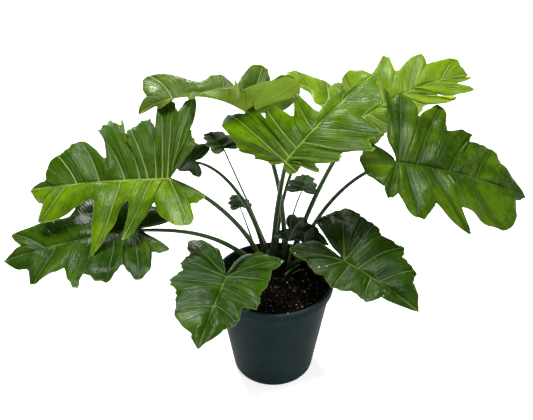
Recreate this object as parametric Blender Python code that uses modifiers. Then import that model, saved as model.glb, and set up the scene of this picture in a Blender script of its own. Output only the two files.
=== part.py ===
"""Potted philodendron: a plain nursery pot, its soil, and a rosette of lobed leaves.

Metres, +Z up. The origin is the centre of the pot's underside, on the floor.
The plant's viewing side is -Y. Each leaf is one blade and one petiole.
"""
import math

import bmesh
import bpy
import numpy as np

# ---------------------------------------------------------------- driving dimensions
RIM_RADIUS = 0.076
POT_HEIGHT = 0.140
FOOT_RADIUS = 0.052
WALL = 0.0015
RIM_BAND = 0.0125          # height of the thickened band below the rim
RIM_STEP = 0.0022          # how far the band stands out from the side
CORNER = 0.006             # rounding between side and underside
GAP = 0.0003               # clearance left wherever two parts touch

SOIL_DEPTH = 0.006         # soil surface below the rim, at the middle
SOIL_DISH = 0.002          # further drop of the soil at its edge

DRAIN_COUNT = 8
DRAIN_RADIUS = 0.0045
DRAIN_INSET = 0.004        # between the drain holes and the edge of the flat floor

CROWN = (0.0, 0.030)       # where the plant grows from, in plan
PLANT_SCALE = 1.0          # scales the blades and their places about the crown
BLADE_THICKNESS = 0.0008
PETIOLE_SCALE = 1.0        # scales every petiole's radius

LATHE_STEPS = 48
BLADE_ROWS = 3             # faces between midrib and margin
PETIOLE_POINTS = 12

# ---------------------------------------------------------------- leaf outlines
# A margin is a list of points from the tip back to the stalk, alternately the end of a
# lobe and the bottom of a notch. Each is (along, out, foot) in shares of the leaf's
# length: its place along the midrib and out from it, and where its vein leaves the midrib.
TIP = (1.0, 0.0, 0.86)

YOUNG_LEFT = (TIP, (.70, .16, .57), (.52, .30, .39), (.34, .30, .23), (.18, .46, .084),
              (.02, .40, .005), (-.16, .46, 0), (-.20, .22, 0), (-.17, .16, 0), (-.03, .02, 0))
YOUNG_RIGHT = (TIP, (.72, .15, .57), (.50, .32, .39), (.32, .29, .23), (.14, .44, .084),
               (.0, .41, .005), (-.20, .44, 0), (-.20, .22, 0), (-.16, .16, 0), (-.03, .02, 0))

# Angles are in degrees: heading is the tip's direction in plan from +X, rise its climb,
# roll lifts the leaf's left half. fold lifts both halves off the midrib at the stalk and
# open at the tip, curl rolls them back down, droop bends the midrib, twist turns the blade
# towards its tip. base is where the petiole leaves the soil, in shares of the soil's radius.
# hub is where the blade meets it: x and y from the crown, or from that base where it says
# from_base, and the height above the rim.
# hands are its two handles, as (level share, height share) of the way from base to blade;
# radii are its ends in metres.
LEAVES = {
    "left_high": dict(
        hub=(-.120, -.030, .140), heading=177, rise=-3, roll=-34, length=.175,
        fold=8, open=8, curl=12, droop=15, twist=0, ripple=.010,
        base=(-.198, .481), hands=((.15, .40), (.60, .82)), radii=(.0036, .0022),
        left=(TIP, (.89, .12, .78), (.88, .27, .72), (.50, .14, .47), (.46, .53, .33),
              (.25, .17, .21), (.27, .43, .12), (.08, .19, .037), (-.16, .35, 0),
              (-.15, .19, 0), (-.24, .14, 0), (-.04, .02, 0)),
        right=(TIP, (.90, .05, .80), (.80, .22, .64), (.74, .25, .58), (.64, .31, .48),
               (.46, .18, .40), (.52, .38, .30), (.45, .48, .24), (.38, .43, .20),
               (.33, .34, .165), (.31, .40, .145), (.24, .44, .12), (.16, .46, .09),
               (.13, .37, .07), (.10, .60, .05), (.06, .66, .03), (.02, .60, .015),
               (-.02, .52, 0), (-.12, .64, 0), (-.12, .34, 0), (-.17, .25, 0),
               (-.03, .04, 0))),
    "left_low": dict(
        hub=(-.160, -.052, .085), heading=190, rise=-4, roll=-12, length=.158,
        fold=8, open=8, curl=12, droop=14, twist=0, ripple=.010,
        base=(-.396, .565), hands=((.30, .65), (.65, .85)), radii=(.0034, .0020),
        left=(TIP, (.80, .17, .72), (.73, .35, .59), (.52, .28, .41), (.43, .47, .31),
              (.38, .38, .25), (.23, .46, .16), (.11, .35, .07), (0, .49, .018),
              (-.10, .26, 0), (-.22, .26, 0), (-.03, .03, 0)),
        right=(TIP, (.87, .09, .74), (.94, .25, .67), (.50, .27, .39), (.36, .48, .2),
               (.22, .33, .11), (.08, .48, .033), (-.13, .22, 0), (-.31, .05, 0),
               (-.045, 0, 0))),
    "top_left": dict(
        hub=(-.028, .045, .187), heading=170, rise=36, roll=18, length=.145,
        fold=58, open=0, curl=10, droop=75, twist=-50, ripple=.006,
        base=(.212, .707), hands=((.00, .50), (.45, .85)), radii=(.0036, .0020),
        left=(TIP, (.84, .02, .78), (.79, .08, .7), (.55, .03, .52), (.36, .36, .31),
              (.27, .26, .23), (.22, .46, .13), (.16, .32, .062), (-.09, .55, 0),
              (-.01, .025, 0)),
        right=(TIP, (.88, .10, .78), (.82, .32, .68), (.46, .13, .41), (.32, .22, .27),
               (.20, .16, .15), (.10, .47, .062), (.01, .38, .014), (-.10, .60, 0),
               (-.03, .03, 0))),
    "centre": dict(
        hub=(.011, -.060, .177), heading=44, rise=30, roll=2, length=.160,
        fold=8, open=8, curl=12, droop=15, twist=0, ripple=.010,
        base=(-.014, .565), hands=((.20, .50), (.90, .90)), radii=(.0038, .0022),
        left=(TIP, (.71, .03, .68), (.74, .07, .63), (.46, .07, .43), (.56, .41, .31),
              (.33, .20, .21), (.30, .43, .13), (.21, .37, .079), (.30, .60, .045),
              (.20, .58, .021), (.16, .76, 0), (-.02, .50, 0), (-.10, .35, 0),
              (-.08, .20, 0), (-.06, .10, 0), (-.02, .01, 0)),
        right=(TIP, (.88, .12, .76), (.75, .25, .65), (.56, .24, .49), (.50, .44, .34),
               (.42, .40, .27), (.34, .50, .19), (.23, .33, .12), (.16, .36, .045),
               (.07, .23, .014), (.04, .28, 0), (.01, .15, 0), (-.03, .14, 0),
               (-.02, .01, 0))),
    "top_right": dict(
        hub=(.113, .070, .172), heading=0, rise=40, roll=24, length=.140,
        fold=10, open=10, curl=12, droop=42, twist=0, ripple=.006,
        base=(.339, .664), hands=((.25, .50), (.75, .90)), radii=(.0036, .0022),
        left=(TIP, (.98, .10, .8), (.97, .21, .74), (.71, .21, .55), (.70, .35, .45),
              (.44, .26, .31), (.42, .49, .21), (.24, .36, .097), (.02, .54, .014),
              (-.03, .48, 0), (-.10, .56, 0), (-.03, .03, 0)),
        right=(TIP, (.95, .03, .83), (1.01, .05, .77), (.84, .08, .68), (.94, .23, .59),
               (.62, .17, .47), (.75, .29, .39), (.50, .24, .33), (.38, .31, .23),
               (.28, .16, .13), (.20, .34, .045), (.10, .33, .014), (0, .36, 0),
               (-.02, .02, 0))),
    "top_back": dict(
        hub=(.085, .115, .168), heading=165, rise=28, roll=0, length=.080,
        fold=10, open=10, curl=12, droop=10, twist=0, ripple=.010,
        base=(.057, .763), hands=((.02, .50), (.25, .90)), radii=(.0026, .0016),
        left=(TIP, (.55, .12, .5), (.28, .45, .11), (0, .30, .018), (-.20, .30, 0),
              (-.03, .03, 0)),
        right=(TIP, (.98, .22, .74), (.88, .38, .5), (.62, .38, .34), (.40, .50, .2),
               (.25, .50, .077), (.10, .65, 0), (-.03, .03, 0))),
    "right": dict(
        hub=(.138, -.030, .161), heading=4, rise=-10, roll=30, length=.186,
        fold=8, open=8, curl=12, droop=25, twist=0, ripple=.010,
        base=(.424, .565), hands=((.18, .50), (.60, .92)), radii=(.0032, .0018),
        left=(TIP, (.78, .17, .64), (.72, .27, .55), (.53, .26, .41), (.57, .33, .35),
              (.36, .30, .23), (.32, .46, .13), (.15, .35, .057), (.05, .52, .013),
              (0, .46, 0), (-.05, .54, 0), (-.03, .20, 0), (-.035, .15, 0), (-.008, .02, 0)),
        right=(TIP, (.91, .05, .74), (.69, .34, .5), (.41, .24, .31), (.44, .42, .23),
               (.22, .27, .13), (.11, .39, .057), (-.01, .23, .013), (-.08, .27, 0),
               (-.10, .20, 0), (-.23, .02, 0), (-.20, -.06, 0), (-.19, -.14, 0),
               (-.03, -.03, 0))),
    "front_left": dict(
        hub=(-.053, -.115, .063), heading=257, rise=0, roll=-2, length=.103,
        fold=8, open=8, curl=12, droop=15, twist=0, ripple=.010,
        base=(-.198, .283), hands=((.15, .70), (.70, 1.15)), radii=(.0026, .0016),
        left=(TIP, (.74, .18, .57), (.63, .29, .44), (.42, .28, .29), (.41, .43, .18),
              (.20, .42, .099), (-.05, .46, .005), (-.26, .45, 0), (-.52, .50, 0),
              (-.58, .30, 0), (-.56, .20, 0), (-.06, .02, 0)),
        right=(TIP, (.87, .11, .72), (.60, .37, .46), (.38, .43, .25), (.22, .56, .13),
               (-.01, .50, .022), (-.16, .56, 0), (-.34, .52, 0), (-.58, .61, 0),
               (-.60, .40, 0), (-.52, .25, 0), (-.05, .02, 0))),
    "front_right": dict(
        hub=(.079, -.090, .067), heading=318, rise=-5, roll=12, length=.100,
        fold=8, open=8, curl=12, droop=15, twist=0, ripple=.010,
        base=(.254, .311), hands=((.20, .50), (.60, .75)), radii=(.0026, .0016),
        left=(TIP, (.76, .25, .62), (.68, .40, .46), (.48, .46, .31), (.38, .62, .18),
              (.10, .56, .045), (-.05, .66, 0), (-.28, .70, 0), (-.55, .68, 0),
              (-.66, .50, 0), (-.70, .34, 0), (-.05, .02, 0)),
        right=(TIP, (.62, .15, .52), (.50, .31, .37), (.36, .30, .23), (.15, .40, .084),
               (-.05, .31, .005), (-.20, .33, 0), (-.38, .25, 0), (-.62, .22, 0),
               (-.62, .06, 0), (-.52, -.06, 0), (-.05, -.01, 0))),
    "shaded_centre": dict(
        hub=(.020, -.018, .063), heading=335, rise=2, roll=10, length=.052,
        fold=10, open=10, curl=12, droop=30, twist=0, ripple=.010,
        base=(.170, .466), hands=((.10, .50), (.60, 1.00)), radii=(.0022, .0014),
        left=YOUNG_LEFT, right=YOUNG_RIGHT),
    "small_left": dict(
        hub=(-.061, .030, .149), heading=125, rise=15, roll=0, length=.048,
        fold=20, open=20, curl=12, droop=30, twist=0, ripple=.010,
        base=(-.085, .876), hands=((.30, .35), (.70, .70)), radii=(.0018, .0010),
        left=YOUNG_LEFT, right=YOUNG_RIGHT),
    "small_right": dict(
        hub=(.035, .010, .102), heading=80, rise=12, roll=0, length=.042,
        fold=20, open=20, curl=12, droop=30, twist=0, ripple=.010,
        base=(.240, .890), hands=((.20, .50), (.80, .90)), radii=(.0014, .0009),
        left=YOUNG_LEFT, right=YOUNG_RIGHT),
    "small_low": dict(
        hub=(-.0220, .0230, .051), from_base=True, heading=110, rise=12, roll=0, length=.034,
        fold=20, open=20, curl=12, droop=30, twist=0, ripple=.010,
        base=(-.311, .876), hands=((.33, .33), (.67, .67)), radii=(.0014, .0009),
        left=YOUNG_LEFT, right=YOUNG_RIGHT),
    "hidden_left": dict(
        hub=(-.099, .030, .131), heading=178, rise=20, roll=-25, length=.060,
        fold=20, open=20, curl=12, droop=30, twist=0, ripple=.010,
        base=(-.141, .650), hands=((.15, .60), (.60, 1.00)), radii=(.0030, .0017),
        left=YOUNG_LEFT, right=YOUNG_RIGHT),
}
BEHIND = {"front_left": .075}  # petioles that come in through the notch, this share back

# Young growth at the crown: its foot in shares of the soil's radius, its middle and its end
# from there as (x, y, height) in metres, and two radii.
SHOOTS = {
    "sheath_left": ((-.092, .452), (0, -.001, .014), (-.0005, -.002, .026), (.0024, .0007)),
    "sheath_right": ((.283, .438), (.0005, 0, .018), (.002, -.001, .032), (.0024, .0007)),
    "shoot_front": ((.198, .127), (.008, .002, .01), (.02, .007, .013), (.0014, .0005)),
    "shoot_right": ((.325, .184), (.006, 0, .006), (.016, -.001, .008), (.0013, .0005)),
}

# ---------------------------------------------------------------- colours
COLOURS = {
    "pot": ((.018, .034, .037), .45),
    "soil": ((.010, .007, .005), .95),
    "blade": ((.060, .140, .012), .35),
    "petiole": ((.012, .030, .008), .35),
    "sheath": ((.120, .110, .030), .50),
}


def make_material(name):
    """Plain Principled material of the named colour."""
    material = bpy.data.materials.new(name)
    material.use_nodes = True
    shader = material.node_tree.nodes["Principled BSDF"]
    colour, roughness = COLOURS[name]
    shader.inputs["Base Color"].default_value = (*colour, 1.0)
    shader.inputs["Roughness"].default_value = roughness
    shader.inputs["Metallic"].default_value = 0.0
    return material


def add_object(name, data, material, collection):
    """Put data in the scene as one named part."""
    part = bpy.data.objects.new(name, data)
    data.materials.append(material)
    collection.objects.link(part)
    return part


# ---------------------------------------------------------------- pot and soil
def side_radius(height):
    """Radius of the pot's outer side, which widens evenly from foot to rim band."""
    share = height / POT_HEIGHT
    return FOOT_RADIUS + (RIM_RADIUS - RIM_STEP - FOOT_RADIUS) * share


def soil_top(radius):
    """Height of the soil surface, dished towards its edge."""
    edge = side_radius(POT_HEIGHT - SOIL_DEPTH) - WALL
    return POT_HEIGHT - SOIL_DEPTH - SOIL_DISH * (radius / edge) ** 2


def soil_radius():
    """Radius of the soil surface at its edge, a gap inside the pot's wall."""
    return side_radius(POT_HEIGHT - SOIL_DEPTH - SOIL_DISH) - WALL - GAP


def corner_arc(radius, height, size, steps=4):
    """Quarter round from the side down to the underside, ending flat."""
    angles = [math.pi / 2 * k / steps for k in range(steps + 1)]
    return [(radius - size + size * math.cos(a), height + size - size * math.sin(a))
            for a in angles]


def lathe(name, profile, material, collection):
    """Closed body of revolution from (radius, height) points, inside top to underside."""
    curve = bpy.data.meshes.new(name)
    shape = bmesh.new()
    corners = [shape.verts.new((radius, 0.0, height)) for radius, height in profile]
    for first, second in zip(corners, corners[1:]):
        shape.edges.new((first, second))
    shape.to_mesh(curve)
    shape.free()
    part = add_object(name, curve, material, collection)
    screw = part.modifiers.new("turn", "SCREW")
    screw.axis = "Z"
    screw.angle = 2 * math.pi
    screw.steps = LATHE_STEPS
    screw.render_steps = LATHE_STEPS
    screw.use_merge_vertices = True
    screw.merge_threshold = 0.00005
    return part


def build_pot(material, collection, cutters):
    """Tapered pot with a rolled rim band, rounded foot and a ring of drain holes."""
    band_foot = POT_HEIGHT - RIM_BAND
    roll = 0.0012
    profile = [(0.0, WALL), (FOOT_RADIUS - WALL - CORNER, WALL),
               (side_radius(CORNER) - WALL - 0.001, CORNER),
               (side_radius(band_foot) - WALL, band_foot),
               (side_radius(POT_HEIGHT) - WALL, POT_HEIGHT - roll),
               (side_radius(POT_HEIGHT) - WALL + roll, POT_HEIGHT),
               (RIM_RADIUS - roll, POT_HEIGHT), (RIM_RADIUS, POT_HEIGHT - roll),
               (RIM_RADIUS - 0.0006, band_foot + roll),
               (RIM_RADIUS - 0.0006 - roll, band_foot),
               (side_radius(band_foot - 0.002), band_foot - 0.002)]
    profile += corner_arc(side_radius(CORNER), 0.0, CORNER)
    profile.append((0.0, 0.0))
    pot = lathe("pot", profile, material, collection)
    ring = FOOT_RADIUS - WALL - CORNER - DRAIN_INSET - DRAIN_RADIUS
    for index in range(DRAIN_COUNT):
        turn = 2 * math.pi * (index + 0.5) / DRAIN_COUNT
        mesh = bpy.data.meshes.new(f"drain_{index}")
        shape = bmesh.new()
        bmesh.ops.create_cone(shape, cap_ends=True, segments=16, radius1=DRAIN_RADIUS,
                              radius2=DRAIN_RADIUS, depth=WALL * 4)
        shape.to_mesh(mesh)
        shape.free()
        cutter = bpy.data.objects.new(f"drain_{index}", mesh)
        cutter.location = (ring * math.cos(turn), ring * math.sin(turn), 0.0)
        cutter.rotation_euler.z = turn + math.radians(4)  # clear of the floor's own edges
        cutter.hide_render = True
        cutter.display_type = "WIRE"
        cutters.objects.link(cutter)
        cut = pot.modifiers.new(f"drain_{index}", "BOOLEAN")
        cut.operation = "DIFFERENCE"
        cut.object = cutter
        cut.solver = "EXACT"
    return pot


def build_soil(material, collection):
    """Soil that fills the pot, a hair inside its wall and floor."""
    floor = WALL + GAP
    edge_height = POT_HEIGHT - SOIL_DEPTH - SOIL_DISH
    edge = soil_radius()
    lower = side_radius(CORNER) - WALL - 0.001 - GAP
    profile = [(0.0, soil_top(0.0)), (edge * 0.5, soil_top(edge * 0.5)), (edge, edge_height),
               (lower, CORNER + GAP), (FOOT_RADIUS - WALL - CORNER - GAP, floor),
               (0.0, floor)]
    return lathe("soil", profile, material, collection)


# ---------------------------------------------------------------- blades
def arc(distance, start, bend):
    """Run and rise of a path that sets off at angle start and turns by bend per metre."""
    safe = np.where(np.abs(bend) < 1e-6, 1e-6, bend)
    end = start + safe * distance
    return (np.sin(end) - np.sin(start)) / safe, (np.cos(start) - np.cos(end)) / safe


def margin_at(rows, place):
    """Vein foot, angle and length at a place in the margin list.

    Foot and angle run evenly between listed points; the length eases so that notches are
    round and lobes come to a blunt point.
    """
    table = np.array(rows, float)
    angle = np.mod(np.arctan2(table[:, 1], table[:, 0] - table[:, 2]), 2 * np.pi)
    length = np.hypot(table[:, 1], table[:, 0] - table[:, 2])
    first = np.clip(np.floor(place).astype(int), 0, len(table) - 2)
    share = np.clip(place - first, 0.0, 1.0)
    from_lobe = first % 2 == 0
    rise = np.where(from_lobe, 1 - share, share)
    notch = np.where(from_lobe, length[first + 1], length[first])
    lobe = np.where(from_lobe, length[first], length[first + 1])
    ease = 0.5 * rise ** 1.8 + 0.5 * rise * rise * (3 - 2 * rise)
    foot = table[first, 2] + (table[first + 1, 2] - table[first, 2]) * share
    swing = angle[first] + (angle[first + 1] - angle[first]) * share
    return foot, swing, notch + (lobe - notch) * ease


def blade_point(leaf, rows, side, place, out):
    """Point of the blade at a place in the margin list and a share out along its vein.

    A vein bows forward, but behind the hub it runs straight. Each half then folds up and
    curls back as an arc, the margin ripples, the blade twists about the midrib, and the
    midrib droops as an arc.
    """
    length = leaf["length"] * PLANT_SCALE
    foot, angle, reach = margin_at(rows, place)
    along, across = reach * np.cos(angle), reach * np.sin(angle)
    bow = np.minimum(foot, 0.2) * out * (1 - out) * np.sin(angle)
    x = length * (foot + along * out - bow * across)
    y = length * (across * out + bow * along)
    share = np.clip(x / length, 0.0, 1.0)
    fold = np.radians(leaf["fold"] + (leaf["open"] - leaf["fold"]) * share)
    run, rise = arc(np.abs(y), fold, -math.radians(leaf["curl"]) / (0.5 * length))
    edge = np.abs(y) / (np.abs(y) + 0.1 * length)
    rise = rise + leaf["ripple"] * length * edge * out ** 2 * np.sin(2.5 * place + side)
    level = side * np.sign(y) * run
    twist = math.radians(leaf["twist"]) * np.clip(x / length, -0.3, 1.2)
    level, rise = (level * np.cos(twist) - rise * np.sin(twist),
                   rise * np.cos(twist) + level * np.sin(twist))
    droop = math.radians(leaf["droop"])
    spine, fall = arc(x, 0.0, -droop / length)
    lean = -droop * x / length
    local = np.stack([spine - rise * np.sin(lean), level, fall + rise * np.cos(lean)], -1)
    return local @ leaf_axes(leaf).T + hub_of(leaf)


def base_of(leaf):
    """Where the stalk leaves the soil, in plan."""
    return np.array(leaf["base"]) * soil_radius()


def hub_of(leaf):
    """Where the blade meets its stalk, spread from the crown by the plant's scale.

    The stalk of a leaf set from_base leans over the rim, so its blade moves with its base.
    """
    start = base_of(leaf) if leaf.get("from_base") else CROWN
    return np.array(leaf["hub"]) * PLANT_SCALE + [*start, POT_HEIGHT]


def leaf_axes(leaf):
    """Columns are the blade's own directions: to the tip, to its left, out of its face."""
    heading, rise, roll = (math.radians(leaf[key]) for key in ("heading", "rise", "roll"))
    tip = np.array([math.cos(heading) * math.cos(rise), math.sin(heading) * math.cos(rise),
                    math.sin(rise)])
    level = np.array([-math.sin(heading), math.cos(heading), 0.0])
    face = np.cross(tip, level)
    left = level * math.cos(roll) + face * math.sin(roll)
    return np.stack([tip, left, np.cross(tip, left)], -1)


def stations(leaf):
    """Vein feet along the midrib, shared by both halves so that they join."""
    feet = {row[2] for side in ("left", "right") for row in leaf[side]}
    ordered = sorted(feet, reverse=True)
    result = []
    for near, far in zip(ordered, ordered[1:]):
        parts = 2 if near - far > 0.05 else 1
        result += [near + (far - near) * k / parts for k in range(parts)]
    return np.array(result + [0.0])


def places_on(rows, feet):
    """Place in the margin list of each shared foot, then of the fan behind the hub."""
    row_feet = np.array([row[2] for row in rows], float)
    last = int(np.argmax(row_feet <= 0.0))
    along = np.interp(-feet, -row_feet[:last + 1], np.arange(last + 1))
    fan = np.arange(2 * last + 1, 2 * (len(rows) - 1) + 1) / 2
    return np.concatenate([along, fan])


def build_blade(name, leaf, material, collection):
    """Both halves as grids moved by formula, joined at the midrib and given thickness."""
    feet = stations(leaf)
    shape = bmesh.new()
    for side, rows in ((1, leaf["left"]), (-1, leaf["right"])):
        places = places_on(rows, feet)
        columns = len(places) - 1
        grid = bmesh.ops.create_grid(shape, x_segments=columns, y_segments=BLADE_ROWS,
                                     size=1.0)["verts"]
        flat = np.array([corner.co[:2] for corner in grid]) * 0.5 + 0.5
        place = places[np.rint(flat[:, 0] * columns).astype(int)]
        moved = blade_point(leaf, rows, side, place, flat[:, 1])
        for corner, target in zip(grid, moved):
            corner.co = target
        if side < 0:
            faces = {face for corner in grid for face in corner.link_faces}
            bmesh.ops.reverse_faces(shape, faces=list(faces))
    bmesh.ops.remove_doubles(shape, verts=shape.verts, dist=0.00005)
    bmesh.ops.dissolve_degenerate(shape, edges=shape.edges, dist=0.00005)
    bmesh.ops.triangulate(shape, faces=shape.faces)
    mesh = bpy.data.meshes.new(name)
    shape.to_mesh(mesh)
    shape.free()
    mesh.shade_smooth()
    part = add_object(name, mesh, material, collection)
    solid = part.modifiers.new("thickness", "SOLIDIFY")
    solid.thickness = BLADE_THICKNESS
    solid.offset = 0.0
    return part


# ---------------------------------------------------------------- stalks
def tube(name, points, radii, material, collection):
    """Capped round bar through the points, its radius given at each."""
    curve = bpy.data.curves.new(name, "CURVE")
    curve.dimensions = "3D"
    curve.bevel_depth = 1.0
    curve.bevel_resolution = 2
    curve.use_fill_caps = True
    line = curve.splines.new("POLY")
    line.points.add(len(points) - 1)
    for spot, place, radius in zip(line.points, points, radii):
        spot.co = (*place, 1.0)
        spot.radius = radius
    return add_object(name, curve, material, collection)


def bezier(start, first, second, end, count):
    """Points of a cubic curve at even parameter steps."""
    t = np.linspace(0.0, 1.0, count)[:, None]
    return (start * (1 - t) ** 3 + 3 * first * t * (1 - t) ** 2
            + 3 * second * t * t * (1 - t) + end * t ** 3)


def standing(x, y, slope, radius):
    """Middle of a round end that leans by the slope vector and just clears the soil."""
    lean = math.hypot(slope[0], slope[1]) / np.linalg.norm(slope)
    height = soil_top(max(0.0, math.hypot(x, y) - radius)) + radius * lean + GAP
    return np.array([x, y, height])


def petiole_points(name, leaf, count):
    """Stalk from the soil to just under the blade's hub, or to just behind it."""
    axes = leaf_axes(leaf)
    hub, base = hub_of(leaf), base_of(leaf)
    (level_a, height_a), (level_b, height_b) = leaf["hands"]
    slope = (hub - [*base, soil_top(0.0)]) * [level_a, level_a, height_a]
    ground = standing(*base, slope, leaf["radii"][0] * PETIOLE_SCALE)
    full = hub - ground
    second = ground + full * np.array([level_b, level_b, height_b])
    if name in BEHIND:
        end = hub - axes[:, 0] * BEHIND[name] * leaf["length"] * PLANT_SCALE
    else:
        arrival = (hub - second) / np.linalg.norm(hub - second)
        tilt = math.sqrt(max(0.0, 1 - float(arrival @ axes[:, 2]) ** 2))
        drop = BLADE_THICKNESS / 2 + GAP + leaf["radii"][1] * PETIOLE_SCALE * tilt
        end = hub - axes[:, 2] * drop
    first = ground + full * np.array([level_a, level_a, height_a])
    return bezier(ground, first, second, end, count)


def build_petiole(name, leaf, material, collection):
    """Tapering stalk of one leaf."""
    points = petiole_points(name, leaf, PETIOLE_POINTS)
    radii = np.linspace(*leaf["radii"], PETIOLE_POINTS) * PETIOLE_SCALE
    return tube(f"petiole_{name}", points, radii, material, collection)


def build_shoot(name, foot, middle, high, radii, material, collection):
    """Young pointed shoot standing in the soil at the crown."""
    low = standing(*(np.array(foot) * soil_radius()), np.array(middle), radii[0])
    middle, high = low + middle, low + high
    points = bezier(low, (low + 2 * middle) / 3, (2 * middle + high) / 3, high, 7)
    return tube(name, points, np.linspace(*radii, 7), material, collection)


def build_all():
    """The whole plant in one collection, with the drain-hole cutters in another."""
    for old in list(bpy.data.objects):
        bpy.data.objects.remove(old, do_unlink=True)
    plant = bpy.data.collections.new("potted_philodendron")
    cutters = bpy.data.collections.new("cutters")
    bpy.context.scene.collection.children.link(plant)
    bpy.context.scene.collection.children.link(cutters)
    materials = {name: make_material(name) for name in COLOURS}
    build_pot(materials["pot"], plant, cutters)
    build_soil(materials["soil"], plant)
    for name, leaf in LEAVES.items():
        build_blade(f"blade_{name}", leaf, materials["blade"], plant)
        build_petiole(name, leaf, materials["petiole"], plant)
    for name, (foot, middle, high, radii) in SHOOTS.items():
        kind = "sheath" if name.startswith("sheath") else "petiole"
        build_shoot(name, foot, middle, high, radii, materials[kind], plant)


build_all()
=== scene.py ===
"""Potted philodendron: the finished look of the plant, its soil and its nursery pot.

Metres, +Z up, the origin under the middle of the pot. Every piece rides on "root".
"""
import itertools
import math

import bpy
import numpy as np
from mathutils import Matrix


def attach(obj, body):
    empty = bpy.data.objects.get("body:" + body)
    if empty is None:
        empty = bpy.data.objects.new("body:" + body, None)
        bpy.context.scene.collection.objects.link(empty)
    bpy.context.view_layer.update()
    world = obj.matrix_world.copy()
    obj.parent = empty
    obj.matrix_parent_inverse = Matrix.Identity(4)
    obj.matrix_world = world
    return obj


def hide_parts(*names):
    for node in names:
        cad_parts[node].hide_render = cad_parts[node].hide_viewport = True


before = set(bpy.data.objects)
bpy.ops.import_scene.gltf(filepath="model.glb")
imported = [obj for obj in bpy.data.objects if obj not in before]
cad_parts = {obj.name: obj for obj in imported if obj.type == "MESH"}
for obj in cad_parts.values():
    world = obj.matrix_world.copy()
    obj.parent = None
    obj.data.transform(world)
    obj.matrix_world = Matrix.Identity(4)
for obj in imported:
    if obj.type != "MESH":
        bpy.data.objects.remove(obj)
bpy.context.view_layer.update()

# -------- sizes shared with the solids
RIM_RADIUS = 0.076
POT_HEIGHT = 0.140
FOOT_RADIUS = 0.052
WALL = 0.0015
RIM_BAND = 0.0125
RIM_STEP = 0.0022
CORNER = 0.006
GAP = 0.0003
SOIL_DEPTH = 0.006
SOIL_DISH = 0.002
DRAIN_COUNT = 8
DRAIN_RADIUS = 0.0045
DRAIN_INSET = 0.004
CROWN = (0.0, 0.030)
BLADE_THICKNESS = 0.0008

# Fineness of the visible surfaces
OUT_ROWS = 26              # rows from midrib to margin
COLUMNS_PER_STEP = 14      # columns between a lobe's end and the next notch
CLOSEST_FEET = 4e-4        # least step between vein feet, in shares of the leaf's length
POT_STEPS = 144
SOIL_STEPS, SOIL_RINGS = 220, 90

# How every blade is formed, in metres unless it says a share
LOBE_FULLNESS = 0.85       # power under 1 that makes lobes fuller than notches
LOBE_POINT = 0.12          # share of a lobe's length that rises to a point
LOBE_BREADTH = 1.5         # power that keeps the angle near a lobe's own for longer
MARGIN_WAVE = 0.022        # share by which the margin strays in and out
MARGIN_START = 0.94        # share of the way out where the sheet starts to thin
PUFF, PUFF_SPAN = 0.24, 0.040  # share of the gap between veins, and the widest gap that counts
BROAD_WAVE, FINE_WAVE = (.0078, .036), (.0026, .014)   # height and size of the sheet's waves
WAVED_LENGTH = 0.17        # length of the leaf for which those heights hold
SPINE_GROOVE, VEIN_GROOVE = 0.0009, 0.00045
VEIN_RIDGE, VEIN_WIDTH = 0.0007, 0.0011
RIGHT_VEINS = 40           # added to the vein numbers of the right half in its surface map
SUNK = 0.0005              # how far stalks and shoots start below the soil's surface
SOIL_LUMPS = ((.0016, .016), (.0011, .0052), (.0007, .0021))   # height and size

# -------- leaf outlines
TIP = (1.0, 0.0, 0.86)


def margin(*points):
    """A margin from the tip back to the stalk, as rows of (along, out, vein foot).

    The points after the tip are alternately the bottom of a notch and the end of a lobe, in
    shares of the leaf's length. A point without a foot has its foot at the hub.
    """
    return np.array([TIP, *((*point, 0.0)[:3] for point in points)])


YOUNG_LEFT = margin((.7, .16, .57), (.52, .3, .39), (.34, .3, .23), (.18, .46, .084),
    (.02, .4, .005), (-.16, .46), (-.2, .22), (-.17, .16), (-.03, .02))
YOUNG_RIGHT = margin((.72, .15, .57), (.5, .32, .39), (.32, .29, .23), (.14, .44, .084),
    (0, .41, .005), (-.2, .44), (-.2, .22), (-.16, .16), (-.03, .02))

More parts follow.
